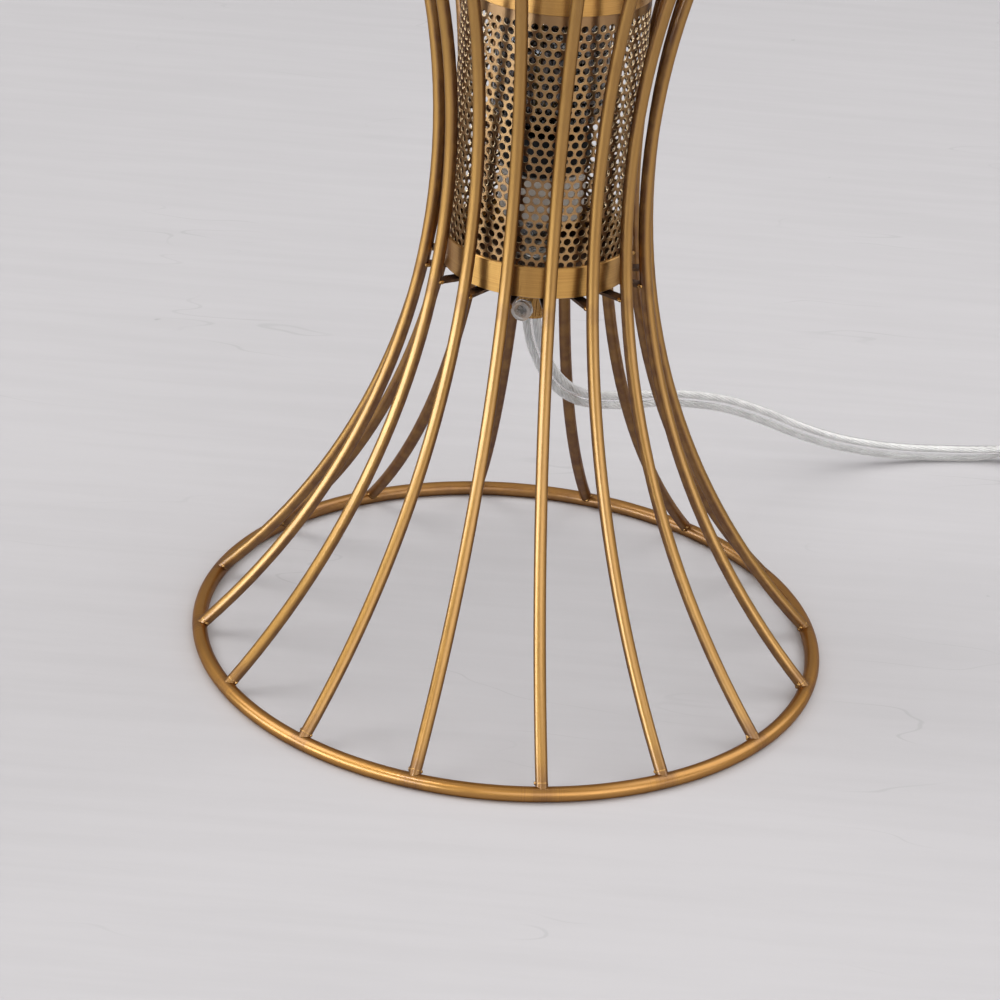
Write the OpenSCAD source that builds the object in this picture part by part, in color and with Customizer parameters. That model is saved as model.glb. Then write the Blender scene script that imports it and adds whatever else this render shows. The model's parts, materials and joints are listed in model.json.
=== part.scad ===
// Table lamp: a crystal ball on an hourglass cage of sixteen bent brass rods, lit from
// a perforated brass tube that stands inside the cage on a sixteen-armed bracket.
// Millimetres, +Z up. The origin is on the floor, on the lamp's axis.

/* [Base ring] */
// Radius of the base ring's wire centre
ring_r = 125; // [110:1:140]
// Thickness of the ring's wire
ring_wire_d = 6; // [5.2:0.1:7]
// Depth of the flat that is ground under the ring
ring_flat = 0.3; // [0.1:0.1:0.6]

/* [Cage] */
// Number of bent rods
rod_count = 16; // [12:1:18]
// Thickness of a rod
rod_d = 4.8; // [3.6:0.1:5]
// Radius of the cage's waist, to the rods' centres
waist_r = 40.7; // [40:0.1:48]
// Height of the waist above the floor
waist_h = 210; // [190:1:230]
// How far inward of a ring wire's centre the rods are aimed
rod_aim = 0.6; // [0:0.1:0.8]
// Turn of the first rod from the front
first_rod_turn = 8; // [0:0.5:22]
// Film of braze between a rod's coped end and what it meets
braze_gap = 0.05; // [0.02:0.01:0.1]

/* [Top ring] */
// Radius of the top ring's wire centre
top_ring_r = 67; // [60:0.5:71]
// Thickness of the top ring's wire
top_wire_d = 6; // [5.2:0.1:7]

/* [Crystal ball] */
// Diameter of the ball
ball_d = 150; // [146:1:170]
// Clear gap between the ball and its seat
ball_gap = 0.3; // [0.1:0.05:0.5]

/* [Bracket] */
// Depth of the bracket's underside below the waist
bracket_drop = 46.2; // [40:0.1:52]
// Thickness of the bracket's sheet
bracket_t = 1.2; // [0.8:0.1:2]
// Radius of the bracket's disc
bracket_r = 30; // [26:0.1:34]
// Width of an arm
arm_w = 4.4; // [3:0.1:4.4]

/* [Cup] */
// Radius of the cup's floor
cup_r = 36; // [35.8:0.1:36.4]
// Thickness of the cup's floor
cup_t = 1.6; // [1:0.1:2]
// Width of the bevel under the cup's floor
cup_bevel = 3.2; // [2:0.1:4]
// Height of the band
band_h = 12.5; // [8:0.5:16]
// Wall of the band
band_wall = 1.15; // [0.8:0.05:1.4]

/* [Perforated tube] */
// Outer radius of the tube
tube_r = 35.4; // [34:0.1:35.6]
// Sheet thickness of the tube
tube_wall = 1; // [0.6:0.1:1.4]
// Clear gap between the tube's upper end and the ball
tube_gap = 12; // [8:0.1:20]
// Height of the band at the tube's upper end
rim_h = 8; // [5:0.5:12]
// Fit between the tube and its bands
tube_fit = 0.05; // [0.02:0.01:0.1]
// Distance between neighbouring holes, coarser than the real sheet's
perf_pitch = 9.2; // [8.4:0.1:12]
// Size of a hole across its corners
perf_hole = 6.4; // [4:0.1:6.8]

/* [Lampholder] */
// Outer radius of the nipple
nipple_r = 5; // [4.8:0.05:5.2]
// Bore radius of the nipple
nipple_bore_r = 3.9; // [3.4:0.05:4]
// Running fit of what sits on the nipple
nipple_fit = 0.05; // [0.02:0.01:0.1]
// Thickness of the locknut
locknut_h = 3; // [2:0.1:4]
// Width of the locknut across its flats
locknut_af = 14; // [13:0.5:17]
// Height of the holder's body above the cup's floor
holder_lift = 21.3; // [19:0.1:24]
// Outer radius of the holder's body
holder_r = 16.5; // [15.6:0.1:18]
// Height of the holder's body
holder_h = 18.4; // [16:0.1:20]
// Floor thickness of the holder's body
holder_floor = 3; // [2:0.1:3.4]
// Radius of the cap that joins the body to the nipple
holder_cap_r = 9; // [8:0.1:11]
// Height of that cap
holder_cap_h = 11.3; // [10:0.1:13]
// Radius of a terminal screw's head
terminal_r = 2.2; // [1.6:0.1:2.6]
// Thickness of a terminal screw's head
terminal_h = 1.8; // [1:0.1:2.4]

/* [Bulb] */
// Radius of the bulb's screw cap
bulb_cap_r = 13; // [12.6:0.05:13.2]
// Clear gap between the screw cap and the screw shell
cap_gap = 0.4; // [0.3:0.05:0.6]
// Wall of the screw shell
shell_wall = 0.5; // [0.3:0.05:0.6]
// Height of the metal part of the bulb's cap
bulb_cap_h = 15.5; // [14:0.5:18]
// Radius of the collar between the bulb's cap and its glass
collar_r = 17.3; // [16:0.1:18.5]
// Height of that collar
collar_h = 14.5; // [12:0.5:17]
// Clear gap between the collar and the lampholder
collar_gap = 1; // [0.6:0.1:2]
// Diameter of the bulb's glass
globe_d = 43; // [40:0.5:49]
// Height over which the glass widens above the collar
shoulder_h = 8; // [6:0.5:10]
// Height of the centre of the glass's dome above the top of the cap
globe_lift = 45; // [42:0.5:47]
// Thickness of the bulb's glass
glass_wall = 0.8; // [0.5:0.1:1.2]
// Number of filaments
filament_count = 4; // [3:1:6]
// Radius of the filaments' circle
filament_ring_r = 7; // [5:0.5:9]
// Length of a filament
filament_len = 34; // [26:1:38]
// Thickness of a filament
filament_d = 1.8; // [1.2:0.1:2.4]

/* [Cord grip] */
// Radius of the grip's plain barrel
grip_r = 5.9; // [5.7:0.1:6.6]
// Length of the grip below the bracket
grip_len = 19.3; // [18:0.1:22]
// Number of ribs round the grip
rib_count = 20; // [14:1:24]
// Radius of a rib
rib_r = 0.55; // [0.4:0.05:0.7]
// Radius of the grip's cord hole
grip_bore_r = 4.3; // [4:0.05:4.5]
// Depth that the nipple screws into the grip
grip_thread_len = 11.2; // [9:0.1:11.4]
// Height of the set screw above the grip's lower end
screw_up = 5.5; // [4.5:0.1:5.6]
// Turn of the set screw from the front, clockwise seen from above
screw_turn = 20; // [0:1:60]
// Radius of the set screw's shank
screw_r = 2; // [1.5:0.05:2.2]
// Running fit of the shank in its hole
screw_fit = 0.05; // [0.02:0.01:0.1]
// Radius of the set screw's head
screw_head_r = 3.95; // [3.2:0.05:4.4]
// Thickness of the set screw's head
screw_head_h = 3; // [2:0.1:4]
// Distance from the axis to the underside of the head
screw_head_out = 10; // [8:0.1:12]
// Distance from the axis to the tip of the shank
screw_tip_out = 2.2; // [2.2:0.1:3]

/* [Cord] */
// Width of the twin cord
cord_w = 7.6; // [6:0.1:7.7]
// Thickness of the twin cord
cord_t = 3.8; // [3:0.1:4]
// Radius of each wire where the cord is split, inside the nipple
wire_r = 1.2; // [0.8:0.05:1.4]
// Distance between those two wires
wire_apart = 3.6; // [3:0.1:4.4]
// Turns in each of the coil's two layers
coil_turns = 2.5; // [2:0.5:3]
// Radius of the coil's outer turn
coil_r = 44.5; // [42:0.1:48]
// Gap between neighbouring turns
coil_gap = 0.9; // [0.7:0.05:1.2]
// Gap between the coil's layers
layer_gap = 0.9; // [0.7:0.05:1.2]

/* [Switch] */
// Length of the switch
switch_l = 56; // [50:1:64]
// Width of the switch
switch_w = 26; // [22:0.5:30]
// Height of the switch
switch_h = 17; // [15:0.5:20]
// Length of the rocker
rocker_l = 15; // [12:0.5:18]
// Width of the rocker
rocker_w = 10; // [8:0.5:12]
// Clear gap between the rocker and its window
rocker_gap = 0.5; // [0.4:0.05:0.8]
// Tilt of the rocker to either side
rocker_tilt = 7; // [4:0.5:9]
// Radius of the rocker's pivot pins
rocker_pin_r = 1.2; // [0.9:0.05:1.5]
// Running fit of the pivot pins
rocker_fit = 0.05; // [0.02:0.01:0.1]

/* [Plug] */
// Length of the plug's body
plug_l = 34; // [28:1:40]
// Width of the plug's body at its face
plug_w = 25; // [22:0.5:28]
// Thickness of the plug's body
plug_t = 15; // [13:0.5:18]
// Length of a blade
blade_l = 16; // [14:0.5:18]
// Width of a blade
blade_w = 6.3; // [5.5:0.1:7]
// Thickness of a blade
blade_t = 1.5; // [1.2:0.1:1.8]
// Distance between the blades' centres
blade_pitch = 12.7; // [11:0.1:14]

/* [Hidden] */
$fn = 64;
slack = 0.01;
big = 1000;

ring_z = ring_wire_d / 2 - ring_flat;
foot_z = ring_z + rod_aim;
waist_drop = waist_h - foot_z;
waist_in = ring_r - waist_r;
bend_r = (waist_drop * waist_drop + waist_in * waist_in) / (2 * waist_in);
foot_turn = asin(waist_drop / bend_r);
head_turn = acos(1 - (top_ring_r - waist_r) / bend_r);
top_ring_z = waist_h + bend_r * sin(head_turn) + rod_aim;

ball_r = ball_d / 2;
ball_seat = ball_r + top_wire_d / 2 + ball_gap;
ball_z = top_ring_z + sqrt(ball_seat * ball_seat - top_ring_r * top_ring_r);

bracket_z = waist_h - bracket_drop;
cup_z = bracket_z + bracket_t;
band_z = cup_z + cup_t;
band_in_r = tube_r + tube_fit;
band_out_r = band_in_r + band_wall;
tube_top = ball_z - ball_r - tube_gap;
tube_len = tube_top - band_z;
perf_cols = round(2 * PI * tube_r / perf_pitch);
perf_step = 2 * PI * tube_r / perf_cols;
perf_row = perf_step * sqrt(3) / 2;
perf_z = band_z + band_h + perf_hole * 0.62;
perf_rows = floor((tube_top - rim_h - perf_hole * 0.62 - perf_z) / perf_row) + 1;

grip_z = bracket_z - grip_len;
nipple_z = bracket_z - grip_thread_len + 0.3;
holder_z = band_z + holder_lift;
holder_cap_z = holder_z - holder_cap_h;
nipple_top = holder_z - 4;
holder_top = holder_z + holder_h;
holder_in_z = holder_z + holder_floor;
shell_in_r = bulb_cap_r + cap_gap;
shell_out_r = shell_in_r + shell_wall;
contact_t = 0.8;
contact_top = holder_in_z + 1.6;
bulb_tip_z = contact_top + 0.3;
bulb_cap_z = bulb_tip_z + 2.4;
bulb_cap_top = bulb_cap_z + bulb_cap_h;
globe_z = bulb_cap_top + globe_lift;
globe_r = globe_d / 2;
neck_r = bulb_cap_r - 0.7;
collar_z = holder_top + collar_gap;
collar_ledge = max(0.5, bulb_cap_top + tube_fit - collar_z);
neck_top = collar_z + collar_h + 0.4;
stem_r = 1.5;
stem_top = globe_z + 9;
filament_z = stem_top - 1 - filament_len;

screw_z = grip_z + screw_up;
head_recess = 1.1;

switch_mid = switch_h / 2;
switch_inlet = [246, 197, switch_mid];
switch_outlet = switch_inlet + [switch_l, 0, 0];
switch_x = switch_inlet[0] + switch_l / 2;
switch_y = switch_inlet[1];
pin_reach = rocker_w + 2 * rocker_gap + 3.2;
rocker_z = switch_h - 3.2;

// Where the cord leaves the grip, crosses the back of the cage, and reaches the switch.
// Its upper part rises and falls with the grip.
lift = grip_z - 144.5;
lamp_route = [
    [0, 0, 152 + lift], [0, 0, 147.5 + lift], [0.1, 0.2, 143 + lift], [0.8, 1.7, 137 + lift],
    [2.3, 4.9, 130 + 0.97 * lift], [4.6, 9.8, 122.5 + 0.9 * lift], [8.2, 17.6, 112.5 + 0.78 * lift],
    [13, 28, 102 + 0.62 * lift], [19.7, 43.4, 90.4 + 0.42 * lift], [27.6, 59.6, 81 + 0.24 * lift],
    [43, 88, 68 + 0.06 * lift], [59, 112, 59], [76, 132, 50], [92, 148, 41], [109, 160, 31], [125, 170, 21],
    [142, 177, 13.5], [159, 183, 8.5], [176, 188, 5.5], [193, 192, 4.2], [208, 194.5, 4],
    [218, 195.8, 4.9], [227, 196.6, 7], [235, 197, 8.5], [240.5, 197, 8.5], switch_inlet
];
// The way the cord's wide side points at each of those places.
lamp_lay = [
    [1, -0.35, 0], [1, -0.35, 0], [1, -0.35, 0], [1, -0.35, 0.1], [1, -0.3, 0.2],
    [1, -0.2, 0.3], [0.9, 0, 0.5], [0.7, 0, 0.7], [0.5, 0.1, 0.8], [0.2, 0.2, 0.9], [0, 0.2, 1], [0, 0.1, 1], [0, 0, 1], [0, 0, 1], [0, 0, 1], [0, 0, 1],
    [0, 0, 1], [0, 0, 1], [0, 0, 1], [0, 0, 1], [0, -0.1, 1],
    [0, -0.5, 0.9], [0, -0.9, 0.4], [0, -1, 0], [0, -1, 0], [0, -1, 0]
];
// From the switch's far end to the coil.
coil_route = [
    [0, 0, 0], [4, 0, 0], [8, -0.1, -0.1], [14, -1.1, -0.9], [21, -4.2, -2.6], [27.5, -9.8, -4],
    [32.5, -18, -4.55], [35.3, -29, -4.65], [36, -41, -4.65], [36, -50, -4.65], [36, -59, -4.65]
];
coil_lay = [
    [0, -1, 0], [0, -1, 0], [0, -1, 0], [0, -1, 0.4], [0.4, -0.6, 0.8], [0, 0, 1],
    [0, 0, 1], [0, 0, 1], [0, 0, 1], [0, 0, 1], [0, 0, 1]
];
// From the coil to the plug, from the end of the coil's upper layer.
plug_route = [
    [0, 0, 0], [0, -5, 0], [0, -10, 0], [0, -18, -1], [0, -27, -3], [0, -35, -4.45],
    [0, -42, -4.85], [0, -47, -4.85], [0, -52, -4.85]
];
plug_lay = [
    [0, 0, 1], [0, 0, 1], [0, 0, 1], [0.3, 0, 1], [0.8, 0, 0.6], [1, 0, 0.1],
    [1, 0, 0], [1, 0, 0], [1, 0, 0]
];
coil_in = switch_outlet + coil_route[len(coil_route) - 1];
coil_end = 8;
coil_x = coil_in[0] - coil_r;
coil_y = coil_in[1] - coil_end;

brass = [0.75, 0.6, 0.36];
dark_brass = [0.35, 0.27, 0.2];
nickel = [0.72, 0.71, 0.69];
clear = [0.86, 0.88, 0.9, 0.45];
white = [0.88, 0.88, 0.86];

function two(n) = n < 10 ? str("0", n) : str(n);
function rod_name(n) = str("rod_", two(n));
function rod_azimuth(n) = first_rod_turn - 90 + (n - 1) * 360 / rod_count;
function rod_axis_r(z) = waist_r + bend_r - sqrt(bend_r * bend_r - pow(z - waist_h, 2));

// Smooth curve through four points, at t from the second to the third.
function blend(a, b, c, d, t) =
    0.5 * (2 * b + (c - a) * t + (2 * a - 5 * b + 4 * c - d) * t * t + (3 * b - a - 3 * c + d) * t * t * t);
function at(p, i) = p[max(0, min(len(p) - 1, i))];
function smooth(p, per) = concat(
    [for (i = [0 : len(p) - 2]) for (k = [0 : per - 1])
        blend(at(p, i - 1), p[i], p[i + 1], at(p, i + 2), k / per)],
    [p[len(p) - 1]]
);
function unit(v) = v / norm(v);
function heading(p, i) = unit(at(p, i + 1) - at(p, i - 1));
function path_length(p) = len(p) < 2 ? 0 : let (d = [for (i = [1 : len(p) - 1]) norm(p[i] - p[i - 1])])
    d * [for (i = d) 1];

// One ring of a tube's skin: place, heading, wide direction and section.
function skin(c, h, w, s) =
    let (u = unit(w - (w * h) * h), v = cross(h, u))
    [for (q = s) c + q[0] * v + q[1] * u];

// Oval section of the free cord and the plainer one of the coil.
cord_half = (cord_w - cord_t) / 2;
oval = [for (k = [0 : 11]) let (a = 15 + 30 * k)
    [cord_t / 2 * cos(a), cord_t / 2 * sin(a) + cord_half * sign(sin(a))]];
hexagon = [[0, cord_w / 2], [-cord_t / 2, cord_half], [-cord_t / 2, -cord_half],
    [0, -cord_w / 2], [cord_t / 2, -cord_half], [cord_t / 2, cord_half]];

// Closed tube along path p, with wide directions w and section s.
module tube_along(p, w, s) {
    n = len(p);
    m = len(s);
    rings = [for (i = [0 : n - 1]) skin(p[i], heading(p, i), w[i], s)];
    points = [for (r = rings) for (q = r) q];
    sides = [for (i = [0 : n - 2]) for (j = [0 : m - 1])
        let (a = i * m + j, b = i * m + (j + 1) % m, c = a + m, d = b + m)
        each [[a, b, d], [a, d, c]]];
    near = [for (j = [1 : m - 2]) [0, j + 1, j]];
    far = [for (j = [1 : m - 2]) [(n - 1) * m, (n - 1) * m + j, (n - 1) * m + j + 1]];
    polyhedron(points = points, faces = concat(sides, near, far), convexity = 10);
}

// Coil of two layers on edge: in along the lower one, up a layer, and out again.
// Its inmost turn dips inward by coil_dip, so that the climb clears the turns beside it.
coil_pitch = cord_t + coil_gap;
layer_rise = cord_w + layer_gap;
coil_dip = 1.6;
ring_turn = 360 / 24;
coil_steps = 24 * coil_turns;
function ease(t) = let (u = max(0, min(1, t))) (3 - 2 * u) * u * u;
function coil_point(k) =
    let (q = k <= coil_steps ? k : 2 * coil_steps - k,
        r = coil_r - coil_pitch * q / 24 - coil_dip * ease((q - coil_steps + 12) / 6))
    [coil_x + r * cos(-k * ring_turn), coil_y + r * sin(-k * ring_turn),
        coil_in[2] + layer_rise * ease((k - coil_steps + 6) / 12)];
coil_out = coil_in + [0, -2 * coil_end, layer_rise];
coil_path = concat([coil_in], [for (k = [0 : 2 * coil_steps]) coil_point(k)], [coil_out]);
lamp_path = smooth(lamp_route, 3);
switch_path = [for (q = smooth(coil_route, 2)) switch_outlet + q];
plug_path = [for (q = smooth(plug_route, 2)) coil_out + q];
plug_inlet = plug_path[len(plug_path) - 1];
plug_x = plug_inlet[0];
plug_y = plug_inlet[1];
cord_length = path_length(lamp_path) + path_length(switch_path) + path_length(coil_path)
    + path_length(plug_path) + switch_l;
echo(cord_length = cord_length);
// Least gap of the coil to itself, from centres at least half a turn apart.
coil_least = min([for (i = [0 : len(coil_path) - 1]) for (j = [i + 12 : 1 : len(coil_path) - 1])
    let (d = coil_path[i] - coil_path[j], flat = norm([d[0], d[1]]) - cord_t, rise = abs(d[2]) - cord_w)
    max(flat, rise)]);
echo(coil_least_gap = coil_least);

// A ring of round wire.
module wire_ring(r, z, d) {
    translate([0, 0, z]) rotate_extrude() translate([r, 0]) circle(d = d);
}

// The bent axis of one rod, in the plane of +X, as thick as asked.
module bent_wire(d) {
    translate([waist_r + bend_r, 0, waist_h])
        rotate([90, 0, 0])
            rotate([0, 0, 180 - head_turn])
                rotate_extrude(angle = head_turn + foot_turn)
                    translate([bend_r, 0]) circle(d = d);
}

module base_ring() {
    color(brass)
    difference() {
        wire_ring(ring_r, ring_z, ring_wire_d);
        translate([0, 0, -ring_wire_d]) cylinder(r = ring_r + ring_wire_d, h = ring_wire_d);
    }
}

module rod(n) {
    color(brass)
    difference() {
        rotate([0, 0, rod_azimuth(n)]) bent_wire(rod_d);
        wire_ring(ring_r, ring_z, ring_wire_d + 2 * braze_gap);
        wire_ring(top_ring_r, top_ring_z, top_wire_d + 2 * braze_gap);
    }
}

module top_ring() {
    color(brass) wire_ring(top_ring_r, top_ring_z, top_wire_d);
}

module crystal_ball() {
    color(clear) translate([0, 0, ball_z]) sphere(r = ball_r);
}

module bracket() {
    arm_r = rod_axis_r(bracket_z + bracket_t / 2);
    color(dark_brass)
    difference() {
        translate([0, 0, bracket_z]) linear_extrude(bracket_t) union() {
            circle(r = bracket_r);
            for (n = [1 : rod_count]) rotate(rod_azimuth(n)) translate([0, -arm_w / 2]) square([arm_r, arm_w]);
        }
        for (n = [1 : rod_count]) rotate([0, 0, rod_azimuth(n)]) bent_wire(rod_d + 2 * braze_gap);
        translate([0, 0, bracket_z - 1]) cylinder(r = nipple_r + nipple_fit, h = bracket_t + 2);
    }
}

module cup_floor() {
    color(dark_brass)
    difference() {
        translate([0, 0, cup_z]) cylinder(r1 = cup_r - cup_bevel, r2 = cup_r, h = cup_t);
        translate([0, 0, cup_z - 1]) cylinder(r = nipple_r + nipple_fit, h = cup_t + 2);
    }
}

// A turned band round the tube, with a small bevel at its outer edges.
module tube_band(z, h) {
    b = band_wall / 4;
    translate([0, 0, z]) rotate_extrude() polygon([
        [band_in_r, 0], [band_out_r - b, 0], [band_out_r, b], [band_out_r, h - b], [band_out_r - b, h],
        [band_in_r, h]
    ]);
}

module band() {
    color(brass) tube_band(band_z, band_h);
}

module tube_rim() {
    color(brass) tube_band(tube_top - rim_h, rim_h);
}

module perforated_tube() {
    color(brass)
    difference() {
        translate([0, 0, band_z]) cylinder(r = tube_r, h = tube_len);
        translate([0, 0, band_z - 1]) cylinder(r = tube_r - tube_wall, h = tube_len + 2);
        for (row = [0 : perf_rows - 1]) for (col = [0 : perf_cols - 1])
            rotate([0, 0, (col + (row % 2) / 2) * 360 / perf_cols])
                translate([tube_r - 2 * tube_wall, 0, perf_z + row * perf_row])
                    rotate([0, 90, 0]) cylinder(d = perf_hole, h = 3 * tube_wall, $fn = 6);
    }
}

module nipple() {
    color(nickel)
    difference() {
        translate([0, 0, nipple_z]) cylinder(r = nipple_r, h = nipple_top - nipple_z);
        translate([0, 0, nipple_z - 1]) cylinder(r = nipple_bore_r, h = nipple_top - nipple_z + 2);
    }
}

module lead_wires() {
    color(clear)
    for (side = [-1, 1]) translate([side * wire_apart / 2, 0, lamp_route[0][2]])
        cylinder(r = wire_r, h = nipple_top - lamp_route[0][2]);
}

module locknut() {
    color(nickel)
    difference() {
        translate([0, 0, band_z]) cylinder(d = locknut_af / cos(30), h = locknut_h, $fn = 6);
        translate([0, 0, band_z - 1]) cylinder(r = nipple_r + nipple_fit, h = locknut_h + 2);
    }
}

module holder_cap() {
    color(nickel)
    difference() {
        translate([0, 0, holder_cap_z]) rotate_extrude() polygon([
            [0, 0], [holder_cap_r - 2, 0], [holder_cap_r, 2], [holder_cap_r, holder_cap_h], [0, holder_cap_h]
        ]);
        translate([0, 0, holder_cap_z - 1])
            cylinder(r = nipple_r + nipple_fit, h = nipple_top - holder_cap_z + 1 + nipple_fit);
    }
}

module terminal_screws() {
    color(brass)
    for (side = [0, 180]) difference() {
        rotate([0, 0, side]) translate([holder_cap_r - terminal_h, 0, holder_z - terminal_r - 2])
            rotate([0, 90, 0]) cylinder(r = terminal_r, h = 2 * terminal_h);
        translate([0, 0, holder_cap_z]) cylinder(r = holder_cap_r + braze_gap, h = holder_cap_h);
    }
}

module holder_body() {
    lip = 0.8;
    color(white)
    difference() {
        translate([0, 0, holder_z]) rotate_extrude() polygon([
            [0, 0], [holder_r - lip, 0], [holder_r, lip], [holder_r, holder_h - lip],
            [holder_r - lip, holder_h], [0, holder_h]
        ]);
        translate([0, 0, holder_in_z]) cylinder(r = shell_out_r + tube_fit, h = holder_h);
    }
}

module screw_shell() {
    shell_h = holder_top - holder_in_z - 0.6;
    color(nickel)
    difference() {
        translate([0, 0, holder_in_z]) cylinder(r = shell_out_r, h = shell_h);
        translate([0, 0, holder_in_z - 1]) cylinder(r = shell_in_r, h = shell_h + 2);
    }
}

module centre_contact() {
    color(brass) {
        translate([0, 0, holder_in_z]) cylinder(r = 4, h = contact_t);
        translate([0, 0, holder_in_z]) cylinder(r = 2.4, h = contact_top - holder_in_z);
    }
}

module bulb_cap() {
    color(nickel)
    difference() {
        translate([0, 0, bulb_cap_z]) cylinder(r = bulb_cap_r, h = bulb_cap_h);
        translate([0, 0, bulb_cap_z - 1]) cylinder(r = neck_r + tube_fit, h = bulb_cap_h + 2);
    }
}

module bulb_insulator() {
    cone_h = bulb_cap_z - bulb_tip_z - 0.6;
    color([0.1, 0.1, 0.11])
    translate([0, 0, bulb_tip_z + 0.6]) rotate_extrude() polygon([
        [0, 0], [4, 0], [neck_r, cone_h], [neck_r, cone_h + 2.6], [0, cone_h + 2.6]
    ]);
}

module bulb_contact() {
    color(nickel) translate([0, 0, bulb_tip_z]) cylinder(r = 3, h = 0.6);
}

module bulb_collar() {
    color([0.08, 0.08, 0.09])
    translate([0, 0, collar_z]) rotate_extrude() polygon([
        [bulb_cap_r + tube_fit, 0], [collar_r - 1, 0], [collar_r, 1], [collar_r, collar_h - 2.5],
        [collar_r - 1.6, collar_h], [neck_r + tube_fit, collar_h], [neck_r + tube_fit, collar_ledge],
        [bulb_cap_r + tube_fit, collar_ledge]
    ]);
}

// Outline of the bulb's glass, drawn in by a wall: neck, shoulder, straight side and dome.
function bulb_outline(wall, foot) = let (r = globe_r - wall, neck = neck_r - wall) concat(
    [[0, foot], [neck, foot]],
    [for (t = [0 : 1 / 6 : 1]) [neck + (r - neck) * ease(t), neck_top + shoulder_h * t]],
    [for (turn = [0 : 7.5 : 82.5]) [r * cos(turn), globe_z + r * sin(turn)]],
    [[0, globe_z + r]]
);

module bulb_glass() {
    color(clear)
    difference() {
        rotate_extrude() polygon(bulb_outline(0, bulb_cap_z + 2.7));
        rotate_extrude() polygon(bulb_outline(glass_wall, bulb_cap_z + 2));
    }
}

module bulb_stem() {
    color(clear) translate([0, 0, bulb_cap_z + 2.6]) {
        cylinder(r = stem_r, h = stem_top - bulb_cap_z - 2.6);
        cylinder(r1 = neck_r - glass_wall - 0.2, r2 = stem_r, h = 12);
    }
}

module filaments() {
    color([0.9, 0.75, 0.3])
    difference() {
        union() {
            for (k = [0 : filament_count - 1]) rotate([0, 0, 45 + k * 360 / filament_count]) {
                translate([filament_ring_r, 0, filament_z]) cylinder(d = filament_d, h = filament_len);
                for (z = [filament_z + 0.6, filament_z + filament_len - 0.6]) translate([0, 0, z])
                    rotate([0, 90, 0]) cylinder(r = 0.4, h = filament_ring_r);
            }
            for (z = [filament_z, filament_z + filament_len - 1.2]) translate([0, 0, z])
                cylinder(r = stem_r + 0.7, h = 1.2);
        }
        translate([0, 0, filament_z - 1]) cylinder(r = stem_r + 0.05, h = filament_len + 2);
    }
}

module cord_grip() {
    color(brass)
    difference() {
        union() {
            translate([0, 0, grip_z]) cylinder(r = grip_r, h = grip_len);
            for (k = [0 : rib_count - 1]) rotate([0, 0, k * 360 / rib_count])
                translate([grip_r, 0, grip_z + 0.8]) cylinder(r = rib_r, h = grip_len - 1.6);
        }
        translate([0, 0, grip_z - 1]) cylinder(r = grip_bore_r, h = grip_len + 2);
        translate([0, 0, bracket_z - grip_thread_len]) cylinder(r = nipple_r + nipple_fit, h = grip_len);
        translate([0, 0, screw_z]) rotate([0, 0, -90 - screw_turn]) rotate([0, 90, 0])
            cylinder(r = screw_r + screw_fit, h = screw_head_out);
    }
}

module set_screw() {
    color(clear)
    translate([0, 0, screw_z]) rotate([0, 0, -90 - screw_turn]) rotate([0, 90, 0])
    difference() {
        union() {
            translate([0, 0, screw_tip_out]) cylinder(r = screw_r, h = screw_head_out - screw_tip_out + slack);
            translate([0, 0, screw_head_out]) cylinder(r = screw_head_r, h = screw_head_h);
        }
        for (turn = [0, 90]) rotate([0, 0, turn])
            translate([-screw_head_r * 0.5, -0.5, screw_head_out + screw_head_h - head_recess])
                cube([screw_head_r, 1, big]);
    }
}

module lamp_cord() {
    color(clear) tube_along(lamp_path, smooth(lamp_lay, 3), oval);
}

module switch_cord() {
    color(clear) tube_along(switch_path, smooth(coil_lay, 2), oval);
}

module plug_cord() {
    color(clear) tube_along(plug_path, smooth(plug_lay, 2), oval);
}

module cord_coil() {
    color(clear) tube_along(coil_path, [for (q = coil_path) [0, 0, 1]], hexagon);
}

// Outline of the switch from above.
module switch_outline() {
    r = 6;
    for (x = [-1, 1]) for (y = [-1, 1])
        translate([x * (switch_l / 2 - r), y * (switch_w / 2 - r)]) circle(r = r);
    square([switch_l - 2 * r, switch_w], center = true);
    square([switch_l, switch_w - 2 * r], center = true);
}

module switch_lower() {
    color(white) translate([switch_x, switch_y, 0]) linear_extrude(switch_mid) switch_outline();
}

module switch_upper() {
    color(white)
    translate([switch_x, switch_y, 0]) difference() {
        translate([0, 0, switch_mid]) linear_extrude(switch_h - switch_mid) switch_outline();
        translate([-rocker_l / 2 - rocker_gap, -rocker_w / 2 - rocker_gap, 0])
            cube([rocker_l + 2 * rocker_gap, rocker_w + 2 * rocker_gap, big]);
        translate([0, 0, rocker_z]) rotate([90, 0, 0])
            cylinder(r = rocker_pin_r + rocker_fit, h = pin_reach + 0.4, center = true);
    }
}

module switch_rocker() {
    h = rocker_l / 2;
    rise = switch_h - rocker_z;
    color([0.15, 0.15, 0.16])
    translate([switch_x, switch_y, rocker_z]) rotate([0, -rocker_tilt, 0]) {
        rotate([90, 0, 0]) linear_extrude(rocker_w, center = true) polygon([
            [-h, -1.2], [0.8 - h, rise + 1.6], [0, rise + 0.4], [h - 0.8, rise + 1.6], [h, -1.2], [0, -2.4]
        ]);
        rotate([90, 0, 0])
            cylinder(r = rocker_pin_r, h = pin_reach, center = true);
    }
}

// Outline of the plug's body: neck at the cord, shoulders, face.
module plug_outline(w, neck) {
    s = plug_l * 0.45;
    polygon([
        [-neck / 2, 0], [-neck / 2 - 0.8, -s * 0.55], [-w / 2 + 2, -s], [-w / 2, -s - 3], [-w / 2, -plug_l],
        [w / 2, -plug_l], [w / 2, -s - 3], [w / 2 - 2, -s], [neck / 2 + 0.8, -s * 0.55], [neck / 2, 0]
    ]);
}

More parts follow.
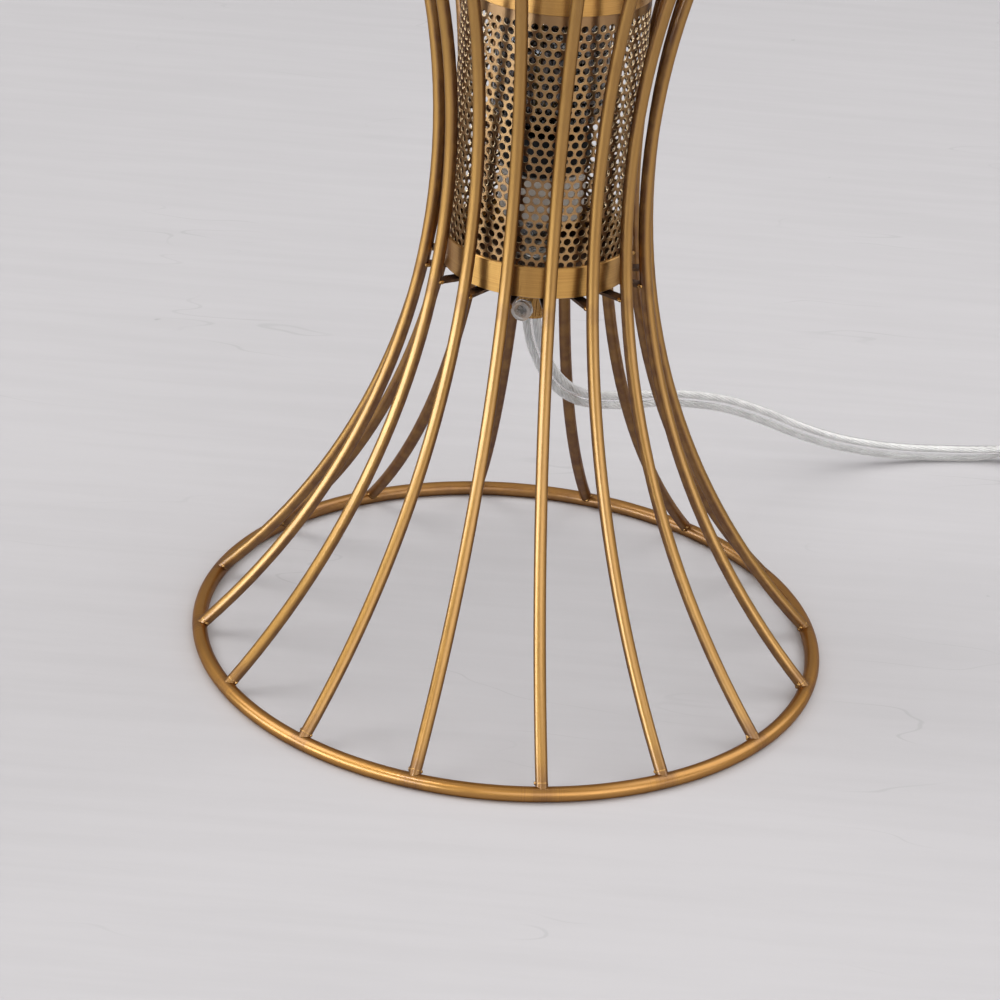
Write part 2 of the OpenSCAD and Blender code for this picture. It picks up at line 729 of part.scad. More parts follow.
module plug_body() {
    color(white)
    translate([plug_x, plug_y, plug_t / 2]) intersection() {
        translate([0, 0, -plug_t / 2]) linear_extrude(plug_t) plug_outline(plug_w, cord_w + 4);
        rotate([0, 90, 0]) translate([0, 0, -plug_w / 2])
            linear_extrude(plug_w) plug_outline(plug_t, cord_t + 5);
    }
}

module plug_blades() {
    color(nickel)
    translate([plug_x, plug_y - plug_l - blade_l, plug_t / 2 - blade_w / 2])
        for (side = [-1, 1])
            translate([side * blade_pitch / 2 - blade_t / 2, 0, 0]) cube([blade_t, blade_l, blade_w]);
}

base_ring();
for (n = [1 : rod_count]) rod(n);
top_ring();
crystal_ball();
bracket();
cup_floor();
band();
perforated_tube();
tube_rim();
nipple();
lead_wires();
locknut();
holder_cap();
terminal_screws();
holder_body();
screw_shell();
centre_contact();
bulb_cap();
bulb_collar();
bulb_insulator();
bulb_contact();
bulb_glass();
bulb_stem();
filaments();
cord_grip();
set_screw();
lamp_cord();
switch_lower();
switch_upper();
switch_rocker();
switch_cord();
cord_coil();
plug_cord();
plug_body();
plug_blades();
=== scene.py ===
"""Table lamp: a brass rod cage on a wire ring, a perforated light tube, and a crystal ball.

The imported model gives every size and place. This script adds the fine pieces that the
model leaves out, finishes each surface, and sets the studio and the camera.
"""

import math

import bmesh
import bpy
from bpy.props import FloatProperty, FloatVectorProperty, IntProperty, PointerProperty
from mathutils import Matrix, Vector, noise
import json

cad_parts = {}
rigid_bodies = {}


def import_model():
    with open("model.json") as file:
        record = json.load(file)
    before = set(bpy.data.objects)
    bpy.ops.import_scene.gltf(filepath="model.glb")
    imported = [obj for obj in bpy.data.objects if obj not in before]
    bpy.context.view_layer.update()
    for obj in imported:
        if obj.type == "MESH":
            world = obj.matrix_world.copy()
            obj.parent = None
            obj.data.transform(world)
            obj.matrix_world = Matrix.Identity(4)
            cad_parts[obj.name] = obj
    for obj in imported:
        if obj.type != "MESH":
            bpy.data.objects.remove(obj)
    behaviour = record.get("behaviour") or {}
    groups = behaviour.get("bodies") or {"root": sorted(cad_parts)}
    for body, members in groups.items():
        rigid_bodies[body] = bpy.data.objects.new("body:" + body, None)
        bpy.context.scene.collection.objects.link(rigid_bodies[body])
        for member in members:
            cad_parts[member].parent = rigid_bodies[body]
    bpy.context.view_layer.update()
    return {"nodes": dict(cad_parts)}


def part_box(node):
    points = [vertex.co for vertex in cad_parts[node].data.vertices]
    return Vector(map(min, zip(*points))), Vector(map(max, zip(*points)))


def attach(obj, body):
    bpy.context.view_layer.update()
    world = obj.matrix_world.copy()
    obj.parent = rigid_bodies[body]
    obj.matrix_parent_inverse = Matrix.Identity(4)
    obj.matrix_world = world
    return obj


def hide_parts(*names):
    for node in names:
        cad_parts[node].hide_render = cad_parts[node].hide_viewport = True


bl_info = {
    "name": "Crystal Ball Table Lamp",
    "version": (1, 0, 0),
    "blender": (4, 5, 0),
    "location": "View3D > Sidebar > Lamp",
    "description": "Dresses the packed model of a brass cage lamp and sets its studio",
    "category": "Object",
}

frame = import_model()
MM = 0.001
UP = Vector((0, 0, 1))


class LampSizes(bpy.types.PropertyGroup):
    """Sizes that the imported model's boxes don't tell by themselves."""

    ring_radius: FloatProperty(
        name="Base Ring Radius", description="To the wire's centre",
        default=0.125, unit="LENGTH")
    ring_wire: FloatProperty(
        name="Ring Wire", description="Thickness of the base ring's wire",
        default=0.006, unit="LENGTH")
    top_ring_radius: FloatProperty(
        name="Top Ring Radius", description="To the wire's centre",
        default=0.067, unit="LENGTH")
    rods: IntProperty(name="Rods", description="Bent rods round the cage", default=16)
    rod_thickness: FloatProperty(
        name="Rod Thickness", description="Diameter of a bent rod",
        default=0.0048, unit="LENGTH")
    first_rod: FloatProperty(
        name="First Rod", description="Turn of the first rod from the +X axis",
        default=math.radians(-82), subtype="ANGLE")
    waist_radius: FloatProperty(
        name="Waist Radius", description="Cage waist, to the rods' centres",
        default=0.0407, unit="LENGTH")
    waist_height: FloatProperty(
        name="Waist Height", description="Height of the waist above the floor",
        default=0.210, unit="LENGTH")
    screw_turn: FloatProperty(
        name="Screw Turn", description="Way that the set screw points, from the front",
        default=math.radians(-20), subtype="ANGLE")
    hole_columns: IntProperty(
        name="Hole Columns", description="Holes in each level row of the tube", default=60)
    hole_share: FloatProperty(
        name="Hole Share", description="Hole diameter as a share of the pitch", default=0.78)
    cord_width: FloatProperty(
        name="Cord Width", description="Width of the flat twin cord",
        default=0.0076, unit="LENGTH")
    cord_thickness: FloatProperty(
        name="Cord Thickness", description="Thickness of the flat twin cord",
        default=0.0038, unit="LENGTH")
    cord_length: FloatProperty(
        name="Cord Length", description="From the grip to the plug",
        default=1.8, unit="LENGTH")


class LampColours(bpy.types.PropertyGroup):
    """Colours that a user would change, in linear light."""

    brass: FloatVectorProperty(
        name="Brass", description="Satin brass of the rods and rings", subtype="COLOR",
        default=(0.37, 0.198, 0.048), min=0, max=1)
    # Brown of the patina at the joints, which also paints shade on the inner sides of the rods and rings.
    patina_and_shade: FloatVectorProperty(
        name="Patina", description="Brown that is left on the inner sides and at the joints", subtype="COLOR",
        default=(0.125, 0.052, 0.024), min=0, max=1)
    floor: FloatVectorProperty(
        name="Floor", description="Painted board under the lamp", subtype="COLOR",
        default=(0.488, 0.475, 0.485), min=0, max=1)


def fresh(name, bm, materials, smooth=math.radians(40), body="stand"):
    """Turn a bmesh into a finished piece that rides on a body, and return its object."""
    mesh = bpy.data.meshes.new(name)
    bm.to_mesh(mesh)
    bm.free()
    piece = bpy.data.objects.new(name, mesh)
    bpy.context.scene.collection.objects.link(piece)
    for material in materials if isinstance(materials, (list, tuple)) else [materials]:
        mesh.materials.append(material)
    mesh.shade_smooth()
    mesh.set_sharp_from_angle(angle=smooth)
    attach(piece, body)
    return piece


def dress(node, material):
    """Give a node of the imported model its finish."""
    slots = frame["nodes"][node].data.materials
    slots.clear()
    slots.append(material)


def box(node):
    """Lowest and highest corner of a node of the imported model."""
    low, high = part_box(node)
    return Vector(low), Vector(high)


def turned(bm, profile, steps=128, closed=False):
    """Turn a profile of (radius, height) points in mm about the lamp's axis."""
    verts = [bm.verts.new((radius * MM, 0, height * MM)) for radius, height in profile]
    edges = [bm.edges.new(pair) for pair in zip(verts, verts[1:])]
    if closed:
        edges.append(bm.edges.new((verts[-1], verts[0])))
    bmesh.ops.spin(bm, geom=verts + edges, cent=(0, 0, 0), axis=UP, angle=2 * math.pi,
                   steps=steps, use_merge=True)
    bmesh.ops.remove_doubles(bm, verts=bm.verts, dist=1e-7)
    bmesh.ops.recalc_face_normals(bm, faces=bm.faces)


def soften(bm, offset, segments=2, least=30):
    """Round the edges at which faces meet at more than so many degrees."""
    edges = [e for e in bm.edges if len(e.link_faces) == 2
             and e.calc_face_angle(0) > math.radians(least)]
    bmesh.ops.bevel(bm, geom=edges, offset=offset, segments=segments, profile=0.5,
                    affect="EDGES", clamp_overlap=True, material=-1)


def merged_copy(node):
    """A bmesh of a node's solid, with its loose triangles joined and flat faces made whole."""
    bm = bmesh.new()
    bm.from_mesh(frame["nodes"][node].data)
    bmesh.ops.remove_doubles(bm, verts=bm.verts, dist=1e-6)
    bmesh.ops.dissolve_limit(bm, angle_limit=math.radians(1), verts=bm.verts, edges=bm.edges)
    return bm


def lump(bm, centre, sizes, turn=Matrix(), seed=0.0, detail=3, rough=0.12):
    """A drop of metal, uneven as it froze, of half sizes along three turned axes."""
    made = bmesh.ops.create_icosphere(bm, subdivisions=detail, radius=1.0)["verts"]
    for v in made:
        v.co *= 1 + rough * noise.noise(v.co * 1.7 + Vector((seed, 3.1 * seed, -seed)))
    bmesh.ops.transform(bm, verts=made, matrix=(
        Matrix.Translation(centre) @ turn.to_4x4() @ Matrix.Diagonal((*sizes, 1))))


# Shader values

class Shade:
    """A value in a material's nodes, on which Python's arithmetic adds Math nodes."""

    def __init__(self, tree, out=None):
        self.tree = tree
        self.out = out

    def node(self, kind, settings=None, values=None, output=0):
        """Add a node of this kind, set it up, then fill its sockets with values or links."""
        made = self.tree.nodes.new(kind)
        for key, value in (settings or {}).items():
            if key == "stops":
                ramp = made.color_ramp.elements
                while len(ramp) < len(value):
                    ramp.new(0.5)
                for stop, (place, colour) in zip(ramp, value):
                    stop.position = place
                    stop.color = colour
            else:
                setattr(made, key, value)
        for key, value in (values or {}).items():
            if isinstance(value, Shade):
                self.tree.links.new(value.out, made.inputs[key])
            else:
                made.inputs[key].default_value = value
        return Shade(self.tree, made.outputs[output])

    def maths(self, operation, *values):
        """A Math node on this value and others."""
        return self.node("ShaderNodeMath", {"operation": operation},
                         dict(enumerate((self, *values))))

    def __add__(self, other):
        return self.maths("ADD", other)

    def __sub__(self, other):
        return self.maths("SUBTRACT", other)

    def __mul__(self, other):
        return self.maths("MULTIPLY", other)

    def __truediv__(self, other):
        return self.maths("DIVIDE", other)

    def __rsub__(self, other):
        return self.node("ShaderNodeMath", {"operation": "SUBTRACT"}, {0: other, 1: self})

    __radd__ = __add__
    __rmul__ = __mul__

    def between(self, low, high, start=0.0, end=1.0):
        """This value mapped smoothly from low..high to start..end."""
        return self.node("ShaderNodeMapRange", {"interpolation_type": "SMOOTHSTEP"},
                         {"Value": self, "From Min": low, "From Max": high,
                          "To Min": start, "To Max": end})

    def mix(self, first, second):
        """Two colours mixed by this value."""
        return self.node("ShaderNodeMix", {"data_type": "RGBA"},
                         {"Factor": self, 6: first, 7: second}, output=2)

    def place(self):
        """Object coordinates of the surface."""
        return self.node("ShaderNodeTexCoord", output=3)

    def scaled(self, vector):
        """A vector stretched along each axis."""
        return self.node("ShaderNodeVectorMath", {"operation": "MULTIPLY"},
                         {0: self, 1: vector})

    def noise(self, scale, detail=2.0, roughness=0.5):
        """Noise at this place, from 0 to 1."""
        return self.node("ShaderNodeTexNoise", None,
                         {"Vector": self, "Scale": scale, "Detail": detail,
                          "Roughness": roughness})

    def bump(self, strength, distance):
        """A normal bent by this height."""
        return self.node("ShaderNodeBump", None,
                         {"Height": self, "Strength": strength, "Distance": distance})

    def turn(self):
        """The angle round the lamp's axis, in radians, of a place."""
        return self.part(1).maths("ARCTAN2", self.part(0))

    def reach(self):
        """The distance of a place from the lamp's axis."""
        across = self.part(0)
        along = self.part(1)
        return (across * across + along * along).maths("SQRT")

    def joined(self, across, along, up):
        """A vector from three numbers."""
        return self.node("ShaderNodeCombineXYZ", None, {0: across, 1: along, 2: up})

    def near(self, value, full, none):
        """1 where this is within full of a value, falling to 0 at none from it."""
        return (self - value).maths("ABSOLUTE").between(full, none, 1.0, 0.0)

    def part(self, axis):
        """One number of a vector: 0 for X, 1 for Y, 2 for Z."""
        return self.node("ShaderNodeSeparateXYZ", None, {"Vector": self}, output=axis)


def surface(name, **sockets):
    """A material whose Principled sockets are set by name, with a function for each link."""
    material = bpy.data.materials.new(name)
    material.use_nodes = True
    tree = material.node_tree
    shader = tree.nodes["Principled BSDF"]
    for key, value in sockets.items():
        key = key.replace("_", " ")
        if callable(value):
            value = value(Shade(tree))
        if isinstance(value, Shade):
            tree.links.new(value.out, shader.inputs[key])
        else:
            shader.inputs[key].default_value = value
    return material


def colour(rgb):
    """A colour with full alpha."""
    return (*rgb[:3], 1.0)


# Finishes

# How much of a brass surface's shine is left where it is seen edge on.
EDGE_TINT = (0.30, 0.24, 0.20)


def worn_brass(scene, name, marks, rough=0.36, grain=1.0, drawn=None, tint=(1, 1, 1)):
    """Satin brass, faintly clouded, drawn in fine lines, and browned where marks(place) says 1: patina at the
    joints and, for the rods and rings, painted shade on their inner sides.
    """
    brass = [c * t for c, t in zip(scene.lamp_colours.brass, tint)]
    patina_and_shade = scene.lamp_colours.patina_and_shade
    pale = [min(1.0, c * 1.05) for c in brass]
    deep = [c * d for c, d in zip(brass, (0.90, 0.87, 0.80))]

    def line(s):
        place = s.place()
        return (drawn(place) if drawn else place.scaled((1, 1, 0.04))).noise(1300, 3.0, 0.6)

    # Brown by the marks: patina at the joints, and painted shade where the rods' and rings' marks give their inner
    # sides.
    def browning_and_shade(s):
        place = s.place()
        uneven = place.noise(160, 3.0).between(0.3, 0.7, 0.55, 1.0)
        return marks(place) * uneven

    def tone(s):
        cloud = s.place().noise(24, 3.0, 0.6).between(0.3, 0.7)
        body = (cloud * 0.6 + line(s).between(0.3, 0.7) * 0.4).mix(colour(deep), colour(pale))
        return browning_and_shade(s).mix(body, colour(patina_and_shade))

    def roughness(s):
        return (s.place().noise(90, 3.0).between(0.3, 0.7, rough - 0.03, rough + 0.04)
                + browning_and_shade(s) * 0.12)

    def skin(s):
        return (line(s) * 0.8 + s.place().noise(240, 3.0) * 0.5).bump(0.12 * grain, 0.0002)

    return surface(name, Base_Color=tone, Roughness=roughness, Metallic=1.0, Normal=skin,
                   Specular_Tint=colour(EDGE_TINT), Coat_Weight=0.28, Coat_IOR=2.0,
                   Coat_Roughness=0.2)


def rod_marks_and_shade(scene):
    """Marks of the rods: patina at both ends and at the bracket's arms, and painted shade on the side of each rod
    that faces into the cage.
    """
    low, high = box("rod_01")
    arms = (box("bracket")[0].z + box("bracket")[1].z) / 2
    sizes = scene.lamp_sizes
    bend = rod_bend(scene)

    def marks(place):
        up = place.part(2)
        foot = up.between(0.006, 0.017, 1.0, 0.0)
        head = up.between(high.z - 0.014, high.z - 0.004, 0.0, 1.0)
        arm = up.near(arms - 0.001, 0.001, 0.005)
        rise = up - sizes.waist_height
        across = (bend * bend - rise * rise).maths("SQRT")
        out = place.reach() - (sizes.waist_radius + bend - across)
        side = out * across / (bend * sizes.rod_thickness / 2)
        # Painted shade: the side of each rod that faces into the cage is browned.
        inner = side.between(0.05, 0.6, 0.85, 0.0)
        return (foot * 0.7 + arm * 0.3).maths("MAXIMUM", head * 0.7).maths("MAXIMUM", inner)
    return marks


def ring_marks_and_shade(scene):
    """Marks of a ring: a darker patch at each rod, with fine scratches across it, and painted shade on the wire's
    inner side, towards the lamp's axis.
    """
    sizes = scene.lamp_sizes

    def marks(place):
        turn = place.turn()
        wave = ((turn - sizes.first_rod) * sizes.rods).maths("COSINE")
        scratch = place.joined(turn * sizes.ring_radius, 0.0, 0.0).noise(1700, 2.0)
        side = (place.reach() - sizes.ring_radius) / (sizes.ring_wire / 2)
        # Painted shade: the inner side of the ring's wire is browned.
        inner = side.between(-0.85, -0.05, 0.6, 0.0)
        cross = wave.between(0.1, 0.7) * scratch.between(0.5, 0.62) * 0.3
        return (wave.between(0.75, 0.99) * 0.4 + cross).maths("MAXIMUM", inner)
    return marks


def ring_lines(place):
    """A place squeezed along a ring, so that fine noise on it runs lengthwise in lines."""
    return place.joined(place.turn() * 0.004, place.reach(), place.part(2))


def brushed_brass(scene, name):
    """Brass brushed round a band: fine level lines, which stretch each light upward."""
    brass = scene.lamp_colours.brass
    pale = [c * e for c, e in zip(brass, (1.40, 1.46, 1.60))]
    deep = [c * d for c, d in zip(brass, (1.08, 1.02, 1.02))]

    def lines(s, fineness):
        place = s.place()
        return s.joined(place.turn() * 1.6, place.reach() * 40, place.part(2) * fineness)

    def tone(s):
        stroke = lines(s, 2600).noise(1.0, 3.0, 0.7)
        cloud = s.place().noise(30, 2.0)
        return (stroke * 0.65 + cloud * 0.35).between(0.32, 0.68).mix(colour(deep), colour(pale))

    return surface(
        name, Base_Color=tone, Metallic=1.0, Anisotropic=0.85, Anisotropic_Rotation=0.25,
        Coat_Weight=0.45, Coat_Roughness=0.3,
        Roughness=lambda s: lines(s, 1800).noise(1.0, 2.0).between(0.3, 0.7, 0.33, 0.41),
        Normal=lambda s: lines(s, 3400).noise(1.0, 4.0, 0.8).bump(0.15, 0.00012))


def sheet_brass(scene, name, wall):
    """Rolled sheet of the tube: brown outside, bright in the cut holes, and painted near black inside as shade."""
    brown = (0.22, 0.12, 0.05)
    warm = (0.34, 0.20, 0.082)
    low, high = box("perforated_tube")

    def tone(s):
        place = s.place()
        reach = place.reach()
        skin = reach.between(high.x - 0.00014, high.x - 0.00006)
        # Painted shade: the inner face of the sheet is near black.
        inside = reach.between(high.x - wall + 0.00003, high.x - wall + 0.0001)
        body = place.noise(40, 3.0).between(0.3, 0.7).mix(colour(brown), colour(warm))
        outer = skin.mix(colour((0.80, 0.62, 0.38)), body)
        return inside.mix(colour((0.10, 0.055, 0.028)), outer)

    return surface(
        name, Base_Color=tone, Metallic=1.0, Anisotropic=0.9, Anisotropic_Rotation=0.25,
        Specular_Tint=colour(EDGE_TINT), Coat_Weight=0.4, Coat_Roughness=0.3,
        Roughness=lambda s: s.place().noise(300, 3.0).between(0.3, 0.7, 0.29, 0.37),
        Normal=lambda s: s.place().scaled((1, 1, 0.25)).noise(1500, 2.0).bump(0.05, 0.0002))


def dark_bronze(scene):
    """Sheet of the bracket and the cup's floor, painted dark brown as shade, and rubbed bright in places."""
    # Painted shade: the near-black brown stands for the shade under the band and the tube.
    dark = (0.085, 0.048, 0.028)
    warm = (0.24, 0.130, 0.065)

    def tone(s):
        place = s.place()
        rubbed = place.noise(130, 4.0, 0.65).between(0.52, 0.74)
        return rubbed.mix(colour(dark), colour(warm))

    return surface("dark_bronze", Base_Color=tone, Metallic=0.9,
                   Roughness=lambda s: s.place().noise(200, 3.0).between(0.3, 0.7, 0.26, 0.48),
                   Normal=lambda s: s.place().noise(700, 3.0).bump(0.15, 0.0002))


def metal(name, tint, rough, fine=800.0, shade=0.82, bare=1.0):
    """A plain plated or turned metal with a faint grain, dull where it is not bare."""
    def tone(s):
        return s.place().noise(fine / 6, 3.0).between(0.35, 0.65).mix(
            colour([c * shade for c in tint]), colour(tint))
    return surface(name, Base_Color=tone, Metallic=bare,
                   Roughness=lambda s: s.place().noise(fine / 3, 3.0).between(
                       0.3, 0.7, rough - 0.05, rough + 0.06),
                   Normal=lambda s: s.place().noise(fine, 2.0).bump(0.06, 0.0001))


def moulding(name, tint, rough=0.35, fine=1400.0, gloss=0.5):
    """Moulded plastic, glazed ceramic or coated wire: a slight skin and faint cloudiness."""
    def tone(s):
        return s.place().noise(60, 2.0).between(0.3, 0.7).mix(
            colour([c * 0.93 for c in tint]), colour(tint))
    return surface(name, Base_Color=tone, Specular_IOR_Level=gloss,
                   Roughness=lambda s: s.place().noise(fine / 4, 2.0).between(
                       0.3, 0.7, rough - 0.05, rough + 0.08),
                   Normal=lambda s: s.place().noise(fine, 2.0).bump(0.05, 0.0002))


def clear(name, tint, rough=0.02, ior=1.5, ripple=0.0, through=1.0, gloss=0.5):
    """Clear glass or plastic with faint smears, and with a ripple where it was moulded."""
    made = surface(name, Base_Color=colour(tint), IOR=ior, Transmission_Weight=through,
                   Specular_IOR_Level=gloss,
                   Roughness=lambda s: s.place().noise(45, 4.0, 0.6).between(
                       0.45, 0.8, rough, rough + 0.05))
    if ripple:
        tree = made.node_tree
        wave = Shade(tree).place().noise(320, 2.0).bump(ripple, 0.0004)
        tree.links.new(wave.out, tree.nodes["Principled BSDF"].inputs["Normal"])
    return made


BACKDROP = (0.50, 0.48, 0.47)


def seen(tree):
    """1 where a surface is seen, also in metal and through glass, and 0 where it only gives light."""
    rays = [Shade(tree).node("ShaderNodeLightPath", output=kind)
            for kind in ("Is Camera Ray", "Is Glossy Ray", "Is Transmission Ray")]
    return rays[0].maths("MAXIMUM", rays[1]).maths("MAXIMUM", rays[2])


def floor_board(scene):
    """Pale painted board with faint brush marks, thin scratches and a few specks."""
    floor = scene.lamp_colours.floor

    def stroke(s):
        return s.place().scaled((5.0, 60.0, 1.0)).noise(1.5, 5.0, 0.6)

    def tone(s):
        place = s.place()
        cloud = (stroke(s) * 0.6 + place.noise(3.0, 4.0) * 0.4).between(0.36, 0.64)
        body = cloud.mix(colour([c * 0.965 for c in floor]), colour([c * 1.01 for c in floor]))
        bent = place.scaled((6.0, 22.0, 1.0)).noise(1.0, 2.0, 0.4)
        scratch = bent.near(0.5, 0.0008, 0.0035) * place.noise(9.0, 2.0).between(0.52, 0.66)
        speck = place.noise(70.0, 1.0).between(0.80, 0.83)
        return (scratch * 0.35).maths("MAXIMUM", speck * 0.6).mix(
            body, colour([c * 0.72 for c in floor]))

    made = surface("floor_board", Base_Color=tone, Specular_IOR_Level=0.0,
                   Roughness=lambda s: stroke(s).between(0.3, 0.7, 0.55, 0.68),
                   Normal=lambda s: stroke(s).bump(0.08, 0.001))
    tree = made.node_tree
    far = Shade(tree).place().reach().between(1.0, 2.8) * seen(tree)
    backdrop = Shade(tree).node("ShaderNodeEmission", None, {"Color": colour(BACKDROP)})
    board = Shade(tree, tree.nodes["Principled BSDF"].outputs[0])
    fade = far.node("ShaderNodeMixShader", None, {0: far, 1: board, 2: backdrop})
    tree.links.new(fade.out, tree.nodes["Material Output"].inputs["Surface"])
    return made


# Cord

# Where the cord leaves the grip, crosses the back of the cage, and reaches the switch, in mm.
SWITCH_INLET = (246, 197, 8.5)
LAMP_ROUTE = [
    (0, 0, 152), (0, 0, 147.5), (0.1, 0.2, 143), (0.8, 1.7, 137), (2.3, 4.9, 130),
    (4.6, 9.8, 122.5), (8.2, 17.6, 112.5), (13, 28, 102), (19.7, 43.4, 90.4), (27.6, 59.6, 81),
    (43, 88, 68), (59, 112, 59), (76, 132, 50), (92, 148, 41), (109, 160, 31), (125, 170, 21),
    (142, 177, 13.5), (159, 183, 8.5), (176, 188, 5.5), (193, 192, 4.2), (208, 194.5, 4),
    (218, 195.8, 4.9), (227, 196.6, 7), (235, 197, 8.5), (240.5, 197, 8.5), SWITCH_INLET,
]
# The way the cord's wide side points at each of those places.
LAMP_LAY = [
    (1, -0.35, 0), (1, -0.35, 0), (1, -0.35, 0), (1, -0.35, 0.1), (1, -0.3, 0.2),
    (1, -0.2, 0.3), (0.9, 0, 0.5), (0.7, 0, 0.7), (0.5, 0.1, 0.8), (0.2, 0.2, 0.9), (0, 0.2, 1), (0, 0.1, 1), (0, 0, 1), (0, 0, 1), (0, 0, 1), (0, 0, 1),
    (0, 0, 1), (0, 0, 1), (0, 0, 1), (0, 0, 1), (0, -0.1, 1),
    (0, -0.5, 0.9), (0, -0.9, 0.4), (0, -1, 0), (0, -1, 0), (0, -1, 0),
]
# From the switch's far end to the coil, and from the coil's end to the plug.
COIL_ROUTE = [
    (0, 0, 0), (4, 0, 0), (8, -0.1, -0.1), (14, -1.1, -0.9), (21, -4.2, -2.6), (27.5, -9.8, -4),
    (32.5, -18, -4.55), (35.3, -29, -4.65), (36, -41, -4.65), (36, -50, -4.65), (36, -59, -4.65),
]
COIL_LAY = [
    (0, -1, 0), (0, -1, 0), (0, -1, 0), (0, -1, 0.4), (0.4, -0.6, 0.8), (0, 0, 1),
    (0, 0, 1), (0, 0, 1), (0, 0, 1), (0, 0, 1), (0, 0, 1),
]
PLUG_ROUTE = [
    (0, 0, 0), (0, -5, 0), (0, -10, 0), (0, -18, -1), (0, -27, -3), (0, -35, -4.45),
    (0, -42, -4.85), (0, -47, -4.85), (0, -52, -4.85),
]
PLUG_LAY = [
    (0, 0, 1), (0, 0, 1), (0, 0, 1), (0.3, 0, 1), (0.8, 0, 0.6), (1, 0, 0.1),
    (1, 0, 0), (1, 0, 0), (1, 0, 0),
]
SWITCH_LENGTH = 56
COIL_TURNS = 2.5
COIL_RADIUS = 44.5
COIL_GAP = 0.9
COIL_DIP = 1.6
COIL_END = 8


def between(a, b, c, d, t):
    """The smooth curve through four points, at t from the second to the third."""
    return 0.5 * (2 * b + (c - a) * t + (2 * a - 5 * b + 4 * c - d) * t * t
                  + (3 * b - a - 3 * c + d) * t ** 3)


def smooth_route(points, steps):
    """A smooth curve through points, with so many steps from each to the next."""
    points = [Vector(p) for p in points]
    held = [points[0], *points, points[-1]]
    curve = [between(*held[i:i + 4], k / steps) for i in range(len(points) - 1) for k in range(steps)]
    return curve + [points[-1]]


def ease(t):
    """A soft step from 0 to 1."""
    t = max(0.0, min(1.0, t))
    return (3 - 2 * t) * t * t


def coil_route(start, width, thickness):
    """Two layers of turns on edge: in along the lower one, up a layer, and out again."""
    per = 48
    steps = round(per * COIL_TURNS)
    pitch = thickness + COIL_GAP
    rise = width + COIL_GAP
    centre = start - Vector((COIL_RADIUS, COIL_END, 0))
    points = [start]
    for k in range(2 * steps + 1):
        q = min(k, 2 * steps - k)
        radius = COIL_RADIUS - pitch * q / per - COIL_DIP * ease((q - steps + per / 2) * 4 / per)
        angle = -2 * math.pi * k / per
        lift = rise * ease((k - steps + per / 4) * 2 / per)
        points.append(centre + Vector((radius * math.cos(angle), radius * math.sin(angle), lift)))
    return points + [start + Vector((0, -2 * COIL_END, rise))]


def poses(route, lay):
    """A pose at each point of a route in mm: Z runs along it, and Y is the cord's wide side."""
    found = []
    for i, point in enumerate(route):
        ahead = route[min(i + 1, len(route) - 1)] - route[max(i - 1, 0)]
        ahead.normalize()
        wide = (lay[i] - lay[i].dot(ahead) * ahead).normalized()
        pose = Matrix((wide.cross(ahead), wide, ahead)).transposed().to_4x4()
        pose.translation = point * MM
        found.append(pose)
    return found


def swept(bm, outline, along):
    """Sweep a closed outline, points across a pose, along poses, and close its ends."""
    ring = [bm.verts.new(along[0] @ Vector((x, y, 0))) for x, y in outline]
    first = bm.faces.new(reversed(ring))
    edges = list(first.edges)
    for before, after in zip(along, along[1:]):
        made = bmesh.ops.extrude_edge_only(bm, edges=edges)["geom"]
        verts = [v for v in made if isinstance(v, bmesh.types.BMVert)]
        edges = [e for e in made if isinstance(e, bmesh.types.BMEdge)]
        bmesh.ops.transform(bm, matrix=after @ before.inverted(), verts=verts)
    bmesh.ops.holes_fill(bm, edges=edges)
    bmesh.ops.recalc_face_normals(bm, faces=bm.faces)


def twin_outline(width, thickness):
    """Two round wires side by side with a web between them."""
    half = thickness / 2
    lobe = [math.radians(a) for a in range(-130, 131, 20)]
    upper = [(half * math.sin(-a), (width - thickness) / 2 + half * math.cos(a)) for a in lobe]
    return upper + [(-x, -y) for x, y in upper]


def twist_round(along, reach, radius, count, pitch, index):
    """Poses of one strand that winds round a wire lying off the route by reach."""
    found = []
    gone = 0.0
    for i, pose in enumerate(along):
        if i:
            gone += (pose.translation - along[i - 1].translation).length
        angle = 2 * math.pi * (gone / pitch + index / count)
        shift = Vector((radius * math.cos(angle), reach + radius * math.sin(angle), 0))
        found.append(pose @ Matrix.Translation(shift))
    return found


def cord_stretches(scene):
    """The two stretches of the cord, each with its name, its points and its lay, in mm."""
    width = scene.lamp_sizes.cord_width / MM
    thickness = scene.lamp_sizes.cord_thickness / MM
    outlet = Vector(SWITCH_INLET) + Vector((SWITCH_LENGTH, 0, 0))
    to_coil = [outlet + p for p in smooth_route(COIL_ROUTE, 8)]
    coil = coil_route(to_coil[-1], width, thickness)
    to_plug = [coil[-1] + p for p in smooth_route(PLUG_ROUTE, 6)]
    lay = smooth_route(COIL_LAY, 8) + [UP.copy() for p in coil[1:]] + smooth_route(PLUG_LAY, 6)[1:]
    return [
        ("lamp_cord", smooth_route(LAMP_ROUTE, 8), smooth_route(LAMP_LAY, 8)),
        ("switch_cord", to_coil + coil[1:] + to_plug[1:], lay),
    ]


def strand_curves(name, along, reach):
    """A mesh of the fine wires twisted together on both sides of a route."""
    curve = bpy.data.curves.new(name, "CURVE")
    curve.dimensions = "3D"
    curve.bevel_depth = 0.00033
    curve.bevel_resolution = 1
    for side in (-1, 1):
        for k in range(6):
            path = twist_round(along, side * reach, 0.00072, 6, 0.030, k)
            spline = curve.splines.new("POLY")
            spline.points.add(len(path) - 1)
            for point, pose in zip(spline.points, path):
                point.co = (*pose.translation, 1)
    shape = bpy.data.objects.new(name, curve)
    bm = bmesh.new()
    bm.from_mesh(shape.to_mesh())
    shape.to_mesh_clear()
    bpy.data.objects.remove(shape)
    return bm


